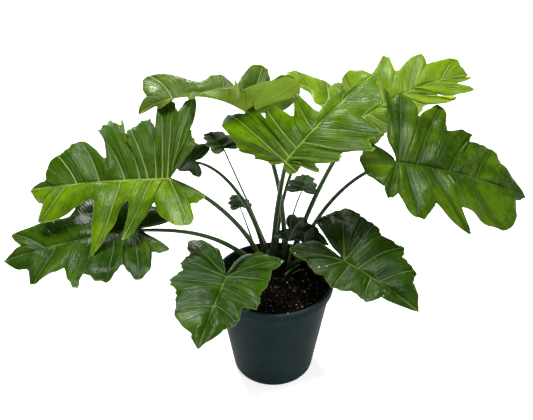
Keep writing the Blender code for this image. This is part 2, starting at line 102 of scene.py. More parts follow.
# Angles are in degrees: heading is the tip's direction in plan from +X, rise its climb,
# roll lifts the leaf's left half. fold lifts both halves off the midrib at the stalk and
# open at the tip, curl rolls them back down, droop bends the midrib, twist turns the blade
# towards its tip, ripple is the height of its waves as a share of its length.
# base is where the stalk leaves the soil, in shares of the soil's radius. hub is where the
# blade meets it: x and y from the crown, or from that base with from_base, and the height
# above the rim. hands are the stalk's two handles, as (level share, height share) of the way
# from base to blade, and radii its two ends in metres. left and right are the two margins.
GROWN = dict(fold=8, open=8, curl=12, droop=15, twist=0, ripple=.01)
TENDER = dict(GROWN, fold=20, open=20, droop=30, left=YOUNG_LEFT, right=YOUNG_RIGHT)
LEAVES = {
    "left_high": dict(
        GROWN, hub=(-.12, -.03, .14), heading=177, rise=-3, roll=-34, length=.175,
        base=(-.198, .481), hands=((.15, .4), (.6, .82)), radii=(.0036, .0022),
        left=margin((.89, .12, .78), (.88, .27, .72), (.5, .14, .47), (.46, .53, .33),
            (.25, .17, .21), (.27, .43, .12), (.08, .19, .037), (-.16, .35), (-.15, .19),
            (-.24, .14), (-.04, .02)),
        right=margin((.9, .05, .8), (.8, .22, .64), (.74, .25, .58), (.64, .31, .48),
            (.46, .18, .4), (.52, .38, .3), (.45, .48, .24), (.38, .43, .2), (.33, .34, .165),
            (.31, .4, .145), (.24, .44, .12), (.16, .46, .09), (.13, .37, .07), (.1, .6, .05),
            (.06, .66, .03), (.02, .6, .015), (-.02, .52), (-.12, .64), (-.12, .34), (-.17, .25),
            (-.03, .04))),
    "left_low": dict(
        GROWN, hub=(-.16, -.052, .085), heading=190, rise=-4, roll=-12, length=.158,
        droop=14, base=(-.396, .565), hands=((.3, .65), (.65, .85)), radii=(.0034, .002),
        left=margin((.8, .17, .72), (.73, .35, .59), (.52, .28, .41), (.43, .47, .31),
            (.38, .38, .25), (.23, .46, .16), (.11, .35, .07), (0, .49, .018), (-.1, .26),
            (-.22, .26), (-.03, .03)),
        right=margin((.87, .09, .74), (.94, .25, .67), (.5, .27, .39), (.36, .48, .2),
            (.22, .33, .11), (.08, .48, .033), (-.13, .22), (-.31, .05), (-.045, 0))),
    "top_left": dict(
        GROWN, hub=(-.028, .045, .187), heading=170, rise=36, roll=18, length=.145,
        fold=58, open=0, curl=10, droop=75, twist=-50, ripple=.006,
        base=(.212, .707), hands=((0, .5), (.45, .85)), radii=(.0036, .002),
        left=margin((.84, .02, .78), (.79, .08, .7), (.55, .03, .52), (.36, .36, .31),
            (.27, .26, .23), (.22, .46, .13), (.16, .32, .062), (-.09, .55), (-.01, .025)),
        right=margin((.88, .1, .78), (.82, .32, .68), (.46, .13, .41), (.32, .22, .27),
            (.2, .16, .15), (.1, .47, .062), (.01, .38, .014), (-.1, .6), (-.03, .03))),
    "centre": dict(
        GROWN, hub=(.011, -.06, .177), heading=44, rise=30, roll=2, length=.16,
        base=(-.014, .565), hands=((.2, .5), (.9, .9)), radii=(.0038, .0022),
        left=margin((.71, .03, .68), (.74, .07, .63), (.46, .07, .43), (.56, .41, .31),
            (.33, .2, .21), (.3, .43, .13), (.21, .37, .079), (.3, .6, .045), (.2, .58, .021),
            (.16, .76), (-.02, .5), (-.1, .35), (-.08, .2), (-.06, .1), (-.02, .01)),
        right=margin((.88, .12, .76), (.75, .25, .65), (.56, .24, .49), (.5, .44, .34),
            (.42, .4, .27), (.34, .5, .19), (.23, .33, .12), (.16, .36, .045), (.07, .23, .014),
            (.04, .28), (.01, .15), (-.03, .14), (-.02, .01))),
    "top_right": dict(
        GROWN, hub=(.113, .07, .172), heading=0, rise=40, roll=24, length=.14,
        fold=10, open=10, droop=42, ripple=.006,
        base=(.339, .664), hands=((.25, .5), (.75, .9)), radii=(.0036, .0022),
        left=margin((.98, .1, .8), (.97, .21, .74), (.71, .21, .55), (.7, .35, .45),
            (.44, .26, .31), (.42, .49, .21), (.24, .36, .097), (.02, .54, .014), (-.03, .48),
            (-.1, .56), (-.03, .03)),
        right=margin((.95, .03, .83), (1.01, .05, .77), (.84, .08, .68), (.94, .23, .59),
            (.62, .17, .47), (.75, .29, .39), (.5, .24, .33), (.38, .31, .23), (.28, .16, .13),
            (.2, .34, .045), (.1, .33, .014), (0, .36), (-.02, .02))),
    "top_back": dict(
        GROWN, hub=(.085, .115, .168), heading=165, rise=28, roll=0, length=.08,
        fold=10, open=10, droop=10,
        base=(.057, .763), hands=((.02, .5), (.25, .9)), radii=(.0026, .0016),
        left=margin((.55, .12, .5), (.28, .45, .11), (0, .3, .018), (-.2, .3), (-.03, .03)),
        right=margin((.98, .22, .74), (.88, .38, .5), (.62, .38, .34), (.4, .5, .2),
            (.25, .5, .077), (.1, .65), (-.03, .03))),
    "right": dict(
        GROWN, hub=(.138, -.03, .161), heading=4, rise=-10, roll=30, length=.186,
        droop=25, base=(.424, .565), hands=((.18, .5), (.6, .92)), radii=(.0032, .0018),
        left=margin((.78, .17, .64), (.72, .27, .55), (.53, .26, .41), (.57, .33, .35),
            (.36, .3, .23), (.32, .46, .13), (.15, .35, .057), (.05, .52, .013), (0, .46),
            (-.05, .54), (-.03, .2), (-.035, .15), (-.008, .02)),
        right=margin((.91, .05, .74), (.69, .34, .5), (.41, .24, .31), (.44, .42, .23),
            (.22, .27, .13), (.11, .39, .057), (-.01, .23, .013), (-.08, .27), (-.1, .2),
            (-.23, .02), (-.2, -.06), (-.19, -.14), (-.03, -.03))),
    "front_left": dict(
        GROWN, hub=(-.053, -.115, .063), heading=257, rise=0, roll=-2, length=.103,
        base=(-.198, .283), hands=((.15, .7), (.7, 1.15)), radii=(.0026, .0016),
        left=margin((.74, .18, .57), (.63, .29, .44), (.42, .28, .29), (.41, .43, .18),
            (.2, .42, .099), (-.05, .46, .005), (-.26, .45), (-.52, .5), (-.58, .3), (-.56, .2),
            (-.06, .02)),
        right=margin((.87, .11, .72), (.6, .37, .46), (.38, .43, .25), (.22, .56, .13),
            (-.01, .5, .022), (-.16, .56), (-.34, .52), (-.58, .61), (-.6, .4), (-.52, .25),
            (-.05, .02))),
    "front_right": dict(
        GROWN, hub=(.079, -.09, .067), heading=318, rise=-5, roll=12, length=.1,
        base=(.254, .311), hands=((.2, .5), (.6, .75)), radii=(.0026, .0016),
        left=margin((.76, .25, .62), (.68, .4, .46), (.48, .46, .31), (.38, .62, .18),
            (.1, .56, .045), (-.05, .66), (-.28, .7), (-.55, .68), (-.66, .5), (-.7, .34),
            (-.05, .02)),
        right=margin((.62, .15, .52), (.5, .31, .37), (.36, .3, .23), (.15, .4, .084),
            (-.05, .31, .005), (-.2, .33), (-.38, .25), (-.62, .22), (-.62, .06), (-.52, -.06),
            (-.05, -.01))),
    "shaded_centre": dict(
        TENDER, hub=(.02, -.018, .063), heading=335, rise=2, roll=10, length=.052,
        fold=10, open=10, base=(.17, .466), hands=((.1, .5), (.6, 1.00)), radii=(.0022, .0014)),
    "small_left": dict(
        TENDER, hub=(-.061, .03, .149), heading=125, rise=15, roll=0, length=.048,
        base=(-.085, .876), hands=((.3, .35), (.7, .7)), radii=(.0018, .001)),
    "small_right": dict(
        TENDER, hub=(.035, .01, .102), heading=80, rise=12, roll=0, length=.042,
        base=(.24, .89), hands=((.2, .5), (.8, .9)), radii=(.0014, .0009)),
    "small_low": dict(
        TENDER, hub=(-.022, .023, .051), from_base=True, heading=110, rise=12, roll=0, length=.034,
        base=(-.311, .876), hands=((.33, .33), (.67, .67)), radii=(.0014, .0009)),
    "hidden_left": dict(
        TENDER, hub=(-.099, .03, .131), heading=178, rise=20, roll=-25, length=.06,
        base=(-.141, .65), hands=((.15, .6), (.6, 1.00)), radii=(.003, .0017)),
}

# -------- leaf looks
# dark and light are the two greens of the mottling, rib the colour of the veins, under that
# of the underside, rough the gloss of the upper face, speck how many pale specks it carries,
# shaded how far the left and the right half are darkened with painted shade.
YOUNG = dict(dark=(.022, .048, .012), light=(.042, .074, .026), rib=(.08, .12, .05),
             under=(.045, .075, .016), rough=.42, slot="blade_dull")
# top leaves: the light greens and the bright underside are painted backlight shining through the
# blade
BRIGHT_BACKLIT = dict(dark=(.066, .130, .002), light=(.125, .200, .006), rib=(.26, .36, .06),
              under=(.30, .46, .035), rough=.27, slot="blade_bright")
MIDDLE = dict(dark=(.024, .066, .001), light=(.094, .172, .002), rib=(.26, .36, .07),
              under=(.10, .17, .01), rough=.22, slot="blade_mid")
DARK = dict(dark=(.006, .024, .001), light=(.032, .074, .002), rib=(.11, .18, .04),
            under=(.045, .09, .01), rough=.21, slot="blade_dark")
LOOKS = {
    "left_high": dict(MIDDLE, light=(.110, .196, .003), shaded=(.0, .86)),
    "left_low": dict(DARK, light=(.036, .078, .001)),
    "top_left": dict(BRIGHT_BACKLIT, dark=(.026, .056, .004), light=(.072, .120, .014)),
    "centre": dict(MIDDLE, light=(.088, .162, .002), shaded=(.05, .40)),
    "top_right": BRIGHT_BACKLIT,
    "top_back": dict(BRIGHT_BACKLIT, dark=(.086, .155, .003), light=(.137, .216, .009)),
    # right: its dark rib colour is painted shade in the grooves along the veins
    "right": dict(DARK, dark=(.007, .026, .001), light=(.064, .122, .004),
                  rib=(.05, .10, .02), rough=.16),
    "front_left": dict(DARK, speck=.25),
    "front_right": dict(DARK, dark=(.005, .020, .001), light=(.024, .057, .001), speck=1.0),
    # shaded_centre: a near-black copy of the dark look, painted shade for the leaf tucked under the
    # others
    "shaded_centre": dict(DARK, dark=(.002, .008, .001), light=(.006, .018, .002), rough=.45),
    "small_left": dict(YOUNG, dark=(.020, .046, .001), light=(.046, .082, .002), rough=.5),
    "small_right": YOUNG,
    "small_low": YOUNG,
    "hidden_left": dict(DARK, rough=.45),
}

# Young growth at the crown: its foot in shares of the soil's radius, its middle and its end
# from there as (x, y, height) in metres, and two radii.
SHOOTS = {
    "sheath_left": ((-.092, .452), (0, -.001, .014), (-.0005, -.002, .026), (.0024, .0007)),
    "sheath_right": ((.283, .438), (.0005, 0, .018), (.002, -.001, .032), (.0024, .0007)),
    "shoot_front": ((.198, .127), (.008, .002, .01), (.02, .007, .013), (.0014, .0005)),
    "shoot_right": ((.325, .184), (.006, 0, .006), (.016, -.001, .008), (.0013, .0005)),
}


# -------- materials
class Wire:
    """A number leaving a node. Arithmetic on it adds Math nodes."""

    def __init__(self, finish, socket):
        self.finish, self.socket = finish, socket

    def out(self, key):
        """Another output of the same node."""
        return Wire(self.finish, self.socket.node.outputs[key])

    def math(self, operation, *others):
        """This number and the others through one Math node."""
        sockets = dict(enumerate((self, *others)))
        return self.finish.node("ShaderNodeMath", {"operation": operation}, sockets)

    def __add__(self, other):
        return self.math("ADD", other)

    def __sub__(self, other):
        return self.math("SUBTRACT", other)

    def __rsub__(self, other):
        return self.math("MULTIPLY", -1.0).math("ADD", other)

    def __mul__(self, other):
        return self.math("MULTIPLY", other)

    def __truediv__(self, other):
        return self.math("DIVIDE", other)

    def off_whole(self):
        """How far this number is from the nearest whole one."""
        return ((self + 0.5).math("FRACT") - 0.5).math("ABSOLUTE")

    __radd__ = __add__
    __rmul__ = __mul__


class Finish:
    """One material: its nodes are added here and end in a Principled shader."""

    def __init__(self, name, **constants):
        self.material = bpy.data.materials.new(name)
        self.material.use_nodes = True
        self.tree = self.material.node_tree
        self.shader = self.tree.nodes["Principled BSDF"]
        for key, value in constants.items():
            self.shader.inputs[key.replace("_", " ")].default_value = value

    def node(self, kind, settings=None, sockets=None, output=0):
        """A node of that kind with its settings made first, then its sockets set or linked."""
        made = self.tree.nodes.new(kind)
        for key, value in (settings or {}).items():
            setattr(made, key, value)
        for key, value in (sockets or {}).items():
            if isinstance(value, Wire):
                self.tree.links.new(value.socket, made.inputs[key])
            else:
                made.inputs[key].default_value = value
        return Wire(self, made.outputs[output])

    def feed(self, key, wire):
        """Links a wire to the shader."""
        self.tree.links.new(wire.socket, self.shader.inputs[key])

    def place(self):
        """Object coordinates, which are metres in the plant's own frame."""
        return self.node("ShaderNodeTexCoord", output="Object")

    def parts(self, vector):
        """The three numbers of a vector."""
        first = self.node("ShaderNodeSeparateXYZ", sockets={0: vector})
        return first, first.out("Y"), first.out("Z")

    def surface(self, name):
        """The two numbers of the piece's own surface map."""
        return self.parts(self.node("ShaderNodeUVMap", {"uv_map": name}))[:2]

    def facts(self, name):
        """The three numbers of a vector attribute."""
        settings = {"attribute_name": name}
        return self.parts(self.node("ShaderNodeAttribute", settings, output="Vector"))

    def noise(self, vector, scale, detail=3.0, roughness=0.55):
        """Fractal noise, near 0.5 on average."""
        return self.node("ShaderNodeTexNoise", {"noise_dimensions": "3D"},
                         {"Vector": vector, "Scale": scale, "Detail": detail,
                          "Roughness": roughness})

    def stretch(self, vector, scale):
        """The vector with each direction scaled on its own."""
        return self.node("ShaderNodeMapping", sockets={"Vector": vector, "Scale": scale})

    def pack(self, x, y):
        """Two numbers as one vector."""
        return self.node("ShaderNodeCombineXYZ", sockets={0: x, 1: y})

    def fade(self, value, start, end):
        """Smooth climb from 0 at start to 1 at end."""
        return self.node("ShaderNodeMapRange", {"interpolation_type": "SMOOTHSTEP"},
                         {0: value, 1: start, 2: end})

    def blend(self, share, first, second):
        """Colour that goes from first to second as share goes from 0 to 1."""
        ends = [c if isinstance(c, Wire) else (*c, 1.0) for c in (first, second)]
        return self.node("ShaderNodeMix", {"data_type": "RGBA"},
                         {0: share, 6: ends[0], 7: ends[1]}, output=2)

    def layers(self, colour, *coats):
        """The colour with each tint laid over it in turn, as far as the mask before it says."""
        for mask, tint in coats:
            colour = self.blend(mask, colour, tint)
        return colour

    def specks(self, place, scale, edge, share, soft=0.001):
        """Round spots in that share of the cells of a jittered grid.

        A spot fades out between the two edges, and soft is the share that is half chosen.
        """
        cell = self.node("ShaderNodeTexVoronoi", {"feature": "F1"},
                         {"Vector": place, "Scale": scale, "Randomness": 1.0})
        chance = self.parts(cell.out("Color"))[0]
        return (1.0 - self.fade(cell, *edge)) * self.fade(chance, 1 - share - soft, 1 - share)

    def relief(self, height, distance, strength):
        """Bump from a height between 0 and 1, where 1 stands distance metres proud."""
        bump = self.node("ShaderNodeBump", sockets={"Height": height, "Distance": distance,
                                                    "Strength": strength})
        self.feed("Normal", bump)

    def close(self, colour, gloss, height, distance, strength):
        """Feeds colour, roughness and relief to the shader and gives the material."""
        self.feed("Base Color", colour)
        self.feed("Roughness", gloss)
        self.relief(height, distance, strength)
        return self.material


def times(colour, factor):
    """The colour darkened or lightened by a factor."""
    return tuple(factor * part for part in colour)


def leaf_finish(name, dark, light, rib, under, rough, speck=0, shaded=(0, 0)):
    """Waxy blade: mottled green, pale ribs, fine cross-striping, duller paler underside, painted
    shade on one half and in the vein furrows.
    """
    finish = Finish(f"leaf_{name}", Specular_IOR_Level=0.125, IOR=1.45)
    place = finish.place()
    vein, out = finish.surface("veins")
    span, middle, below = finish.facts("blade")
    # distance in metres to the nearest main vein, and to the lesser veins between them
    to_vein = vein.off_whole() * span
    wander = (finish.noise(place, 60.0, 2.0) - 0.5) * 0.35
    lesser = (vein * 5.0 + wander).off_whole() * span * 0.2
    ribs = 1.0 - finish.fade(to_vein / (0.0016 - out * 0.0009), 0.35, 1.0)
    spine = 1.0 - finish.fade(middle, 0.0007, 0.0019)
    ribs = ribs.math("MAXIMUM", spine)
    threads = 1.0 - finish.fade(lesser, 0.00010, 0.0006)
    stripes = finish.noise(finish.pack(vein * 34.0, out * 1.6), 1.0, 3.0)
    mottle = finish.fade(finish.noise(place, 22.0, 5.0, 0.6), 0.38, 0.62)
    cloud = finish.fade(finish.noise(place, 150.0, 3.0), 0.30, 0.70)
    # colour: the mottling, painted shade on one half and in the vein furrows, then what is pale
    shade = mottle * 0.55 + cloud * 0.20 + stripes * 0.35 - 0.05
    # painted shade: the half that shaded picks is darkened as if turned away from the light
    right = finish.fade(vein, RIGHT_VEINS / 2 - 1.0, RIGHT_VEINS / 2 + 1.0)
    painted_half_shade = right * (shaded[1] - shaded[0]) + shaded[0]
    # painted shade: darker green in the furrows beside the main veins, where shade falls
    painted_furrow_shade = 1.0 - finish.fade(to_vein, 0.0008, 0.0075)
    rim = finish.fade(out, 0.965, 0.995)
    pale = finish.layers(under, (stripes * 0.5 + cloud * 0.2, times(under, 0.72)),
                         (ribs * 0.6, rib))
    colour = finish.layers(dark, (shade, light), (painted_half_shade, times(dark, 0.8)),
                           (painted_furrow_shade * 0.55, times(dark, 0.5)), (threads * 0.22, light),
                           (ribs * 0.62, rib), (rim * 0.45, rib), (below, pale))
    gloss = stripes * 0.16 + cloud * 0.08 + below * 0.22 + (rough - 0.10)
    if speck:
        spots = finish.specks(place, 120.0, (0.07, 0.12), 0.12 * speck) * (1.0 - below)
        colour = finish.blend(spots, colour, (.80, .84, .80))
    height = stripes * 0.45 + cloud * 0.12 - threads * 0.30 - ribs * 0.35
    return finish.close(colour, gloss, height, 0.0022, 0.8)


def stalk_finish(name, low, high, rough):
    """Glossy stalk: streaks along its length, paler towards the clasping foot."""
    finish = Finish(f"stalk_{name}", IOR=1.45, Specular_IOR_Level=0.25)
    place = finish.place()
    around, along = finish.surface("length")
    streak = finish.noise(finish.pack(around * 26.0, along * 5.0), 1.0, 3.0)
    speckle = finish.fade(finish.noise(place, 900.0, 2.0), 0.55, 0.75)
    foot = 1.0 - finish.fade(along, 0.02, 0.22)
    colour = finish.layers(high, (streak, times(high, 1.9)), (foot * 0.8, low),
                           (speckle * 0.25, times(high, 0.5)))
    gloss = streak * 0.2 + speckle * 0.1 + (rough - 0.1)
    return finish.close(colour, gloss, streak * 0.8 + speckle * 0.2, 0.0004, 0.6)


def pot_finish():
    """Moulded dark plastic: faint cloudiness, fine grain, scuffs, pits, dust low down, a painted
    highlight on the lip.
    """
    finish = Finish("pot_plastic", IOR=1.46, Specular_IOR_Level=0.03)
    place = finish.place()
    height = finish.parts(place)[2]
    cloud = finish.fade(finish.noise(place, 28.0, 4.0), 0.3, 0.7)
    grain = finish.noise(place, 1400.0, 2.0)
    scuff = finish.fade(finish.noise(finish.stretch(place, (260.0, 260.0, 18.0)), 1.0, 4.0),
                        0.60, 0.74)
    dust = finish.fade(finish.noise(place, 95.0, 5.0, 0.7), 0.50, 0.75) * (
        1.0 - finish.fade(height, 0.004, 0.060))
    # painted highlight: the top of the lip is lighter, where the light catches it
    lip = finish.fade(height, POT_HEIGHT - 0.0030, POT_HEIGHT - 0.0010)
    pits = finish.specks(place, 60.0, (0.06, 0.12), 0.034)
    colour = finish.layers((.0046, .0122, .0134), (cloud, (.0068, .0168, .0184)),
                           (lip * 0.6, (.0200, .0350, .0380)), (scuff * 0.25, (.030, .046, .050)),
                           (dust * 0.12, (.10, .10, .09)), (pits * 0.8, (.003, .004, .004)))
    gloss = grain * 0.14 + cloud * 0.06 + scuff * 0.12 + dust * 0.2 + 0.36
    return finish.close(colour, gloss, grain * 0.5 + cloud * 0.3 + scuff * 0.2, 0.00025, 0.5)


def soil_finish(name, dark, light):
    """Damp peat: near-black crumbs with brown fibres and small paler grains."""
    finish = Finish(name, IOR=1.4, Specular_IOR_Level=0.03)
    place = finish.place()
    clods = finish.noise(place, 260.0, 5.0, 0.7)
    patch = finish.fade(finish.noise(place, 45.0, 3.0), 0.35, 0.7)
    fibre = finish.fade(finish.noise(finish.stretch(place, (140.0, 900.0, 500.0)), 1.0, 2.0),
                        0.60, 0.72)
    tan = finish.specks(place, 330.0, (0.25, 0.40), 0.06, 0.01)
    colour = finish.layers(dark, (finish.fade(clods, 0.4, 0.7), light),
                           (patch * 0.35, times(dark, 0.4)), (fibre * 0.5, (.050, .030, .014)),
                           (tan * 0.6, (.14, .095, .050)))
    return finish.close(colour, clods * 0.3 + 0.62, clods, 0.0022, 0.9)


def grain_finish(name, dark, light, scale, rough):
    """Small mineral or plant bits, blotched from one colour to the other."""
    finish = Finish(name)
    blotch = finish.noise(finish.place(), scale, 4.0, 0.65)
    colour = finish.blend(finish.fade(blotch, 0.35, 0.65), dark, light)
    return finish.close(colour, blotch * 0.2 + rough, blotch, 0.0004, 0.8)


# -------- surfaces
def triangles(index, flip=False):
    """Two triangles for each cell of a grid of vertex numbers, leaving out collapsed ones.

    Gives the vertex numbers and the grid places that each corner came from.
    """
    place = np.arange(index.size).reshape(index.shape)
    a, b, c, d = place[:-1, :-1], place[1:, :-1], place[1:, 1:], place[:-1, 1:]
    corners = np.concatenate([np.stack([a, b, c], -1).reshape(-1, 3),
                              np.stack([a, c, d], -1).reshape(-1, 3)])
    if flip:
        corners = corners[:, ::-1]
    found = index.ravel()[corners]
    whole = ((found[:, 0] != found[:, 1]) & (found[:, 1] != found[:, 2])
             & (found[:, 2] != found[:, 0]))
    return found[whole], corners[whole]


def put(name, data):
    """A new object in the scene, at the origin."""
    added = bpy.data.objects.new(name, data)
    bpy.context.scene.collection.objects.link(added)
    return added


def add_piece(name, points, faces, material, stands_for=(), uv=None, facts=None,
              smooth=True):
    """A mesh from whole arrays, riding on the root. uv and facts are given per corner."""
    mesh = bpy.data.meshes.new(name)
    mesh.vertices.add(len(points))
    mesh.vertices.foreach_set("co", np.asarray(points, np.float32).ravel())
    mesh.loops.add(faces.size)
    mesh.loops.foreach_set("vertex_index", faces.astype(np.int32).ravel())
    mesh.polygons.add(len(faces))
    mesh.polygons.foreach_set("loop_start", np.arange(0, faces.size, 3, dtype=np.int32))
    if uv is not None:
        layer = mesh.uv_layers.new(name=uv[0], do_init=False)
        layer.uv.foreach_set("vector", np.asarray(uv[1], np.float32).ravel())
    if facts is not None:
        held = mesh.attributes.new(facts[0], "FLOAT_VECTOR", "CORNER")
        held.data.foreach_set("vector", np.asarray(facts[1], np.float32).ravel())
    mesh.materials.append(material)
    mesh.update(calc_edges=True)
    if smooth:
        mesh.shade_smooth()
    piece = put(name, mesh)
    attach(piece, "root")
    if stands_for:
        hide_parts(*stands_for)
    return piece


def wrapped(rings, flip=False):
    """Closed surface through rings of points; the first and last ring are single points.

    Gives the points, the triangles, and for each corner its share around and its ring.
    """
    count, around = rings.shape[:2]
    inner = 1 + (np.arange(count)[:, None] - 1) * around + np.arange(around + 1) % around
    inner[0], inner[-1] = 0, 1 + (count - 2) * around
    faces, corners = triangles(inner, flip)
    points = np.concatenate([rings[0, :1], rings[1:-1].reshape(-1, 3), rings[-1, :1]])
    ring, step = corners // (around + 1), corners % (around + 1)
    return points, faces, step / around, ring


def hashed(cells, seed):
    """A repeatable number from 0 to 1 for each whole-number cell."""
    mixed = np.sin(cells @ np.array([127.1, 311.7, 74.7]) + seed * 53.3) * 43758.5453
    return mixed - np.floor(mixed)


def lumps(points, cell, seed):
    """Smooth noise from -1 to 1: cell corners hold random numbers, eased in between."""
    scaled = np.asarray(points) / cell
    low = np.floor(scaled)
    share = scaled - low
    share = share * share * (3 - 2 * share)
    total = 0.0
    for corner in itertools.product((0, 1), repeat=3):
        weight = np.prod(np.where(np.array(corner) == 1, share, 1 - share), -1)
        total = total + weight * hashed(low + np.array(corner), seed)
    return 2 * total - 1


def unit(vectors):
    """The vectors at length one."""
    return vectors / np.maximum(np.linalg.norm(vectors, axis=-1, keepdims=True), 1e-12)


# -------- blades
def arc(distance, start, bend):
    """Run and rise of a path that sets off at angle start and turns by bend per metre."""
    safe = np.where(np.abs(bend) < 1e-6, 1e-6, bend)
    end = start + safe * distance
    return (np.sin(end) - np.sin(start)) / safe, (np.cos(start) - np.cos(end)) / safe


def margin_at(rows, place):
    """Vein foot, angle and length at a place in the margin list.

    The foot runs evenly between listed points. The length eases so that notches and lobes
    are both round, and the angle turns faster towards a lobe, which makes lobes broad.
    """
    along, out, feet = rows.T
    angle = np.mod(np.arctan2(out, along - feet), 2 * np.pi)
    length = np.hypot(out, along - feet)
    first = np.clip(np.floor(place).astype(int), 0, len(rows) - 2)
    share = np.clip(place - first, 0.0, 1.0)
    from_lobe = first % 2 == 0
    rise = np.where(from_lobe, 1 - share, share)
    notch = np.where(from_lobe, length[first + 1], length[first])
    lobe = np.where(from_lobe, length[first], length[first + 1])
    full = rise ** LOBE_FULLNESS
    ease = LOBE_POINT * rise ** 1.8 + (1 - LOBE_POINT) * full * full * (3 - 2 * full)
    foot = feet[first] + (feet[first + 1] - feet[first]) * share
    turn = np.where(from_lobe, 1 - rise ** LOBE_BREADTH, rise ** LOBE_BREADTH)
    swing = angle[first] + (angle[first + 1] - angle[first]) * turn
    return foot, swing, notch + (lobe - notch) * ease


def base_of(leaf):
    """Where the stalk leaves the soil, in plan."""
    return np.array(leaf["base"]) * soil_radius()


def hub_of(leaf):
    """Where the blade meets its stalk, from the crown or from its own base."""
    start = base_of(leaf) if leaf.get("from_base") else CROWN
    return np.array(leaf["hub"]) + [*start, POT_HEIGHT]


def leaf_axes(leaf):
    """Columns are the blade's own directions: to the tip, to its left, out of its face."""
    heading, rise, roll = (math.radians(leaf[key]) for key in ("heading", "rise", "roll"))
    tip = np.array([math.cos(heading) * math.cos(rise), math.sin(heading) * math.cos(rise),
                    math.sin(rise)])
    level = np.array([-math.sin(heading), math.cos(heading), 0.0])
    face = np.cross(tip, level)
    left = level * math.cos(roll) + face * math.sin(roll)
    return np.stack([tip, left, np.cross(tip, left)], -1)


def blade_point(leaf, rows, side, place, out):
    """Point of the blade at a place in the margin list and a share out along its vein.

    A vein bows forward, but behind the hub it runs straight. Each half then folds up and
    curls back as an arc, the margin ripples, the blade twists about the midrib, and the
    midrib droops as an arc.
    Also gives the flat place along and across the blade.
    """
    length = leaf["length"]
    foot, angle, reach = margin_at(rows, place)
    wavy = 0.6 * np.sin(11.3 * place + side) + 0.4 * np.sin(17.9 * place + leaf["heading"])
    out = out * (1 + MARGIN_WAVE * wavy * out ** 4)
    along, across = reach * np.cos(angle), reach * np.sin(angle)
    bow = np.minimum(foot, 0.2) * out * (1 - out) * np.sin(angle)
    x = length * (foot + along * out - bow * across)
    y = length * (across * out + bow * along)
    share = np.clip(x / length, 0.0, 1.0)
    fold = np.radians(leaf["fold"] + (leaf["open"] - leaf["fold"]) * share)
    run, rise = arc(np.abs(y), fold, -math.radians(leaf["curl"]) / (0.5 * length))
    edge = np.abs(y) / (np.abs(y) + 0.1 * length)
    rise = rise + leaf["ripple"] * length * edge * out ** 2 * np.sin(2.5 * place + side)
    level = side * np.sign(y) * run
    twist = math.radians(leaf["twist"]) * np.clip(x / length, -0.3, 1.2)
    level, rise = (level * np.cos(twist) - rise * np.sin(twist),
                   rise * np.cos(twist) + level * np.sin(twist))
    droop = math.radians(leaf["droop"])
    spine, fall = arc(x, 0.0, -droop / length)
    lean = -droop * x / length
    local = np.stack([spine - rise * np.sin(lean), level, fall + rise * np.cos(lean)], -1)
    return local @ leaf_axes(leaf).T + hub_of(leaf), x, y


def eased(count):
    """Shares from 0 to 1, closer together at both ends."""
    return 0.5 - 0.5 * np.cos(np.pi * np.arange(count + 1) / count)


def blade_columns(leaf):
    """Places of the columns in both margin lists.

    Every listed point of either margin gets a column, and its foot on the midrib is shared
    by both halves so that they join. Behind the hub each half goes on as its own fan.
    """
    listed = [leaf["left"][:, 2], leaf["right"][:, 2]]
    lasts = [int(np.argmax(own <= 0.0)) for own in listed]
    steps = eased(COLUMNS_PER_STEP)
    feet = {0.0}
    for own, last in zip(listed, lasts):
        places = (np.arange(last)[:, None] + steps[:-1]).ravel()
        feet |= set(np.round(np.interp(places, np.arange(len(own)), own), 6))
    feet = np.array(sorted(feet, reverse=True))
    feet = feet[np.concatenate([[True], np.diff(-feet) > CLOSEST_FEET])]
    feet[-1] = 0.0
    result = []
    for own, last in zip(listed, lasts):
        front = np.interp(-feet, -own[:last + 1], np.arange(last + 1))
        fan = (np.arange(last, len(own) - 1)[:, None] + steps[1:]).ravel()
        result.append(np.concatenate([front, fan]))
    return result, len(feet)


def blade_relief(leaf, grid, place, out, x, y, seed):
    """Lift of the sheet, depths of groove and ridge, and two distances, all in metres.

    Between two main veins the blade puffs up as a squared sine; the margin waves by noise;
    veins are bell-shaped grooves above and rounded ridges below.
    """
    length, stalk = leaf["length"], leaf["radii"][1]
    spacing = np.linalg.norm(np.gradient(grid, axis=1), axis=-1) / np.gradient(place[0])
    span = np.minimum(2 * spacing, 0.6 * length)
    turn = np.abs(np.mod(place / 2 + 0.5, 1.0) - 0.5)
    spread = np.abs(y) / (np.abs(y) + 0.04 * length)
    puff = (PUFF * np.minimum(span, PUFF_SPAN) * np.sin(np.pi * turn) ** 2 * spread
            * (1 - out ** 3))
    (broad, broad_size), (fine, fine_size) = BROAD_WAVE, FINE_WAVE
    wave = (broad * lumps(grid, broad_size, seed) * (0.35 + 0.65 * out)
            + fine * lumps(grid, fine_size, seed + 3) * (0.2 + 0.8 * out ** 2)
            ) * spread * length / WAVED_LENGTH
    middle = np.where(x > 0, np.abs(y), np.hypot(x, y))
    toward_tip = np.clip(x / length, 0, 1)
    spine = np.exp(-(middle / (stalk * (0.95 - 0.6 * toward_tip))) ** 2)
    vein = np.exp(-(turn * span / (VEIN_WIDTH * (1 - 0.6 * out))) ** 2) * (1 - 0.7 * out)
    scale = min(1.0, length / 0.12)
    groove = scale * np.maximum(SPINE_GROOVE * spine * (1 - 0.5 * toward_tip),
                                VEIN_GROOVE * vein)
    ridge = np.maximum(stalk * 0.85 * (1 - 0.9 * toward_tip) * spine,
                       VEIN_RIDGE * scale * vein)
    return dict(lift=puff + wave, groove=groove, ridge=ridge, span=span, middle=middle)


